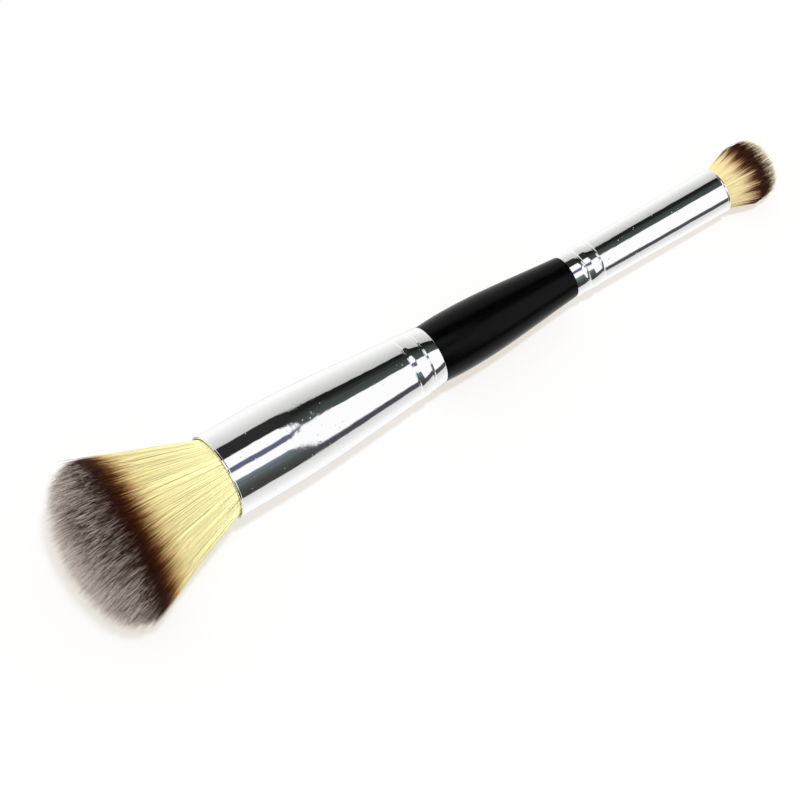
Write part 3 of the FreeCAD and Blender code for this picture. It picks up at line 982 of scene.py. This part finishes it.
small_fibre = dyed_fibre("dyed_fibre_small", SMALL_DYE, SMALL_LENGTH, SMALL_BLEACH_CHANGE)
fibres(
    "small_head_fibres",
    tuft,
    SMALL_HEAD,
    SMALL_SEED,
    SMALL_FIBRES,
    0,
    SMALL_FIBRES,
    SMALL_LENGTH,
    OUTER_RING_EASE,
    small_fibre,
    "small_head",
)
small_mouth_x = LARGE_JOINT.x + SMALL_HEAD["Mouth"] * MM
bundle_middle(
    "small_head_middle",
    SMALL_HEAD,
    SMALL_MIDDLE_SHARE,
    SMALL_MIDDLE_INSET,
    shaded_bundle_finish("close_fibres_shaded_small", small_mouth_x, 1.0, *SMALL_MIDDLE_DYE),
    "small_head",
)

# --------------------------------------------------------------------------- Ground and light
# The brush lies on a plain white ground in a white room. For the bright metal to show there are
# a dark screen overhead with a dim slit beside it, one low at the front, and greyer walls.

GROUND_HALF = 3.0
GROUND_GLOW = (0.712, 0.652, 0.565, 1)  # what the ground keeps in the shade
GROUND_SHADED = (0.219, 0.263, 0.326, 1)  # what the light adds to make it white
GROUND_BOUNCE = (0.90, 0.90, 0.90, 1)

ground_mesh = bpy.data.meshes.new("ground")
corners = [(x * GROUND_HALF, y * GROUND_HALF, 0) for x, y in ((-1, -1), (1, -1), (1, 1), (-1, 1))]
ground_mesh.from_pydata(corners, [], [(0, 1, 2, 3)])
ground = bpy.data.objects.new("ground", ground_mesh)
bpy.context.scene.collection.objects.link(ground)
ground.visible_glossy = False
paper = bpy.data.materials.new("white_ground")
paper.use_nodes = True
tree = paper.node_tree
tree.nodes.clear()
lit = node(tree, "ShaderNodeBsdfDiffuse", GROUND_SHADED)
glow = node(tree, "ShaderNodeEmission", GROUND_GLOW, 1.0)
bounce = node(tree, "ShaderNodeBsdfDiffuse", GROUND_BOUNCE)
path = node(tree, "ShaderNodeLightPath")
seen = node(tree, "ShaderNodeAddShader", result(lit), result(glow))
to_lens = path.outputs["Is Camera Ray"]
mixed = node(tree, "ShaderNodeMixShader", to_lens, result(bounce), result(seen))
node(tree, "ShaderNodeOutputMaterial", result(mixed))
ground_mesh.materials.append(paper)

TOWARDS_LENS = (0.049, -0.434, 0.900)  # square to the brush axis, in the camera's plane
TOWARDS_FRONT = (-0.023, -0.901, -0.433)  # square to both, down to the front
ALONG_BRUSH = (math.cos(LYING_TURN), 0.0, -math.sin(LYING_TURN))

SCREEN_FLAT = (0.026, 0.026, 0.027, 1)
SCREEN_STEEP = [
    (0.0, (0.008, 0.008, 0.008, 1)),
    (0.35, (0.014, 0.015, 0.015, 1)),
    (0.66, (0.048, 0.058, 0.055, 1)),
    (1.0, (0.068, 0.086, 0.080, 1)),
]
SLIT_COLOUR = (0.125, 0.130, 0.215, 1)
FRONT_FLAT = [
    (0.0, (0.185, 0.225, 0.265, 1)),
    (0.4, (0.080, 0.100, 0.090, 1)),
    (0.75, (0.052, 0.053, 0.050, 1)),
]
FRONT_STEEP = (0.075, 0.072, 0.088, 1)
FAR_WALL = (0.52, 0.53, 0.50, 1)
BEHIND_COLOUR = (0.45, 0.455, 0.46, 1)
LOW_WALL = (0.60, 0.60, 0.58, 1)
ROOM_WHITE = (1, 1, 1, 1)
ROOM_LIGHT = 0.60

# Where they stand, in degrees round the brush from straight towards the lens. The second value of
# an edge is how far it moves for rays that turn along the brush, the last value is how soft it is.
STEEP_FROM, STEEP_TO = 18.0, 23.0
SLIT_EDGES = ((-4.0, -10.0), (9.0, -17.0), 1.8)
OVERHEAD_EDGES = ((-65.0, 9.0), (-30.0, 22.0), 1.6)
FRONT_EDGES = ((31.0, 31.0), (83.5, -2.5), 1.8)
OVERHEAD_CLOTH = (-57.0, -12.0)
FRONT_CLOTH = (31.0, 83.0)
FAR_WALL_FADE = (-125.0, -58.0)
FAR_WALL_END = -45.0
LOW_WALL_FADE = (130.0, 70.0)
LOW_WALL_END = 60.0
BEHIND_FADE = (163.0, 174.0)
EDGES_UNEVEN = 5.0
CLOTH_FOLDS = 16.0

WINDOW_LIGHT = 2.52
WINDOW_ANGLE = 5.0
WINDOW_RAYS = Vector((-0.03, 0.26, -1.0))

world = bpy.data.worlds.new("white_room")
bpy.context.scene.world = world
world.cycles.sampling_method = "NONE"
world.use_nodes = True
tree = world.node_tree
tree.nodes.clear()
ray = node(tree, "ShaderNodeTexCoord").outputs["Generated"]


def part_along(direction):
    made = node(tree, "ShaderNodeVectorMath", ray, direction, operation="DOT_PRODUCT")
    return made.outputs["Value"]


across = calc(tree, "ARCTAN2", part_along(TOWARDS_FRONT), part_along(TOWARDS_LENS))
angle = calc(tree, "MULTIPLY", across, 180 / math.pi)
lengthwise = calc(tree, "ARCSINE", part_along(ALONG_BRUSH))
lengthwise = calc(tree, "MULTIPLY", lengthwise, 180 / math.pi)
steep = remap(tree, lengthwise, STEEP_FROM, STEEP_TO)


def edge(flat, change):
    """A screen's edge in degrees, which moves as the ray turns along the brush."""
    return calc(tree, "ADD", calc(tree, "MULTIPLY", steep, change), flat)


def screen(low, high, soft):
    """How much of a screen the ray meets between two edges."""
    low, high = edge(*low), edge(*high)
    into = remap(tree, calc(tree, "SUBTRACT", angle, low), -soft, soft)
    beyond = remap(tree, calc(tree, "SUBTRACT", angle, high), -soft, soft)
    return calc(tree, "MULTIPLY", into, calc(tree, "SUBTRACT", 1.0, beyond))


def tinted(base, colour, share):
    """The room's colour with a screen's colour laid over it."""
    made = tree.nodes.new("ShaderNodeMix")
    made.data_type = "RGBA"
    tree.links.new(share, made.inputs["Factor"])
    colours = [socket for socket in made.inputs if socket.type == "RGBA"]
    if isinstance(base, bpy.types.NodeSocket):
        tree.links.new(base, colours[0])
    else:
        colours[0].default_value = base
    if isinstance(colour, bpy.types.NodeSocket):
        tree.links.new(colour, colours[1])
    else:
        colours[1].default_value = colour
    return next(socket for socket in made.outputs if socket.type == "RGBA")


def wavering(scale, detail, amount):
    """A slow change from place to place in the room, in degrees."""
    wave = calc(tree, "SUBTRACT", result(noise(tree, ray, scale, detail)), 0.5)
    return calc(tree, "MULTIPLY", wave, amount)


angle = calc(tree, "ADD", angle, wavering(5.0, 2.0, EDGES_UNEVEN))
folded = calc(tree, "ADD", angle, wavering(14.0, 3.0, CLOTH_FOLDS))
far_side = remap(tree, angle, *FAR_WALL_FADE, kind="LINEAR")
far_side = calc(tree, "MULTIPLY", far_side, calc(tree, "LESS_THAN", angle, FAR_WALL_END))
low_front = remap(tree, angle, *LOW_WALL_FADE, kind="LINEAR")
low_front = calc(tree, "MULTIPLY", low_front, calc(tree, "GREATER_THAN", angle, LOW_WALL_END))
steep_cloth = graded(tree, remap(tree, folded, *OVERHEAD_CLOTH, kind="LINEAR"), SCREEN_STEEP)
screen_cloth = tinted(SCREEN_FLAT, steep_cloth, steep)
flat_cloth = graded(tree, remap(tree, folded, *FRONT_CLOTH, kind="LINEAR"), FRONT_FLAT)
front_cloth = tinted(flat_cloth, FRONT_STEEP, steep)
shown = tinted(ROOM_WHITE, FAR_WALL, far_side)
shown = tinted(shown, LOW_WALL, low_front)
shown = tinted(shown, SLIT_COLOUR, screen(*SLIT_EDGES))
shown = tinted(shown, screen_cloth, screen(*OVERHEAD_EDGES))
shown = tinted(shown, front_cloth, screen(*FRONT_EDGES))
behind = remap(tree, calc(tree, "ABSOLUTE", angle), *BEHIND_FADE)
shown = tinted(shown, BEHIND_COLOUR, behind)
path = node(tree, "ShaderNodeLightPath")
plain = (ROOM_LIGHT, ROOM_LIGHT, ROOM_LIGHT, 1)
room_colour = tinted(ROOM_WHITE, plain, path.outputs["Is Diffuse Ray"])
room_colour = tinted(room_colour, shown, path.outputs["Is Glossy Ray"])
room = node(tree, "ShaderNodeBackground", room_colour)
node(tree, "ShaderNodeOutputWorld", result(room))

lamp_data = bpy.data.lights.new("window", "SUN")
lamp_data.energy = WINDOW_LIGHT
lamp_data.angle = math.radians(WINDOW_ANGLE)
lamp = bpy.data.objects.new("window", lamp_data)
bpy.context.scene.collection.objects.link(lamp)
lamp.rotation_mode = "QUATERNION"
lamp.rotation_quaternion = WINDOW_RAYS.to_track_quat("-Z", "Y")
lamp.visible_glossy = False

# ------------------------------------------------------------------------------------- Camera
# It looks down on the brush from the side of the large head, as the photograph was taken.

CAMERA_PLACE = Vector((-184.76, -248.34, 530.08)) * MM
CAMERA_AIM = Vector((-12.13, -3.96, 10.0)) * MM
camera_data = bpy.data.cameras.new("camera")
camera_data.sensor_width = 36.0
camera_data.lens = 126.0
camera_data.clip_start = 0.01
camera_data.clip_end = 20.0
camera = bpy.data.objects.new("camera", camera_data)
bpy.context.scene.collection.objects.link(camera)
camera.location = CAMERA_PLACE
camera.rotation_mode = "QUATERNION"
camera.rotation_quaternion = (CAMERA_AIM - CAMERA_PLACE).to_track_quat("-Z", "Y")
bpy.context.scene.camera = camera
bpy.context.scene.view_settings.view_transform = "Standard"
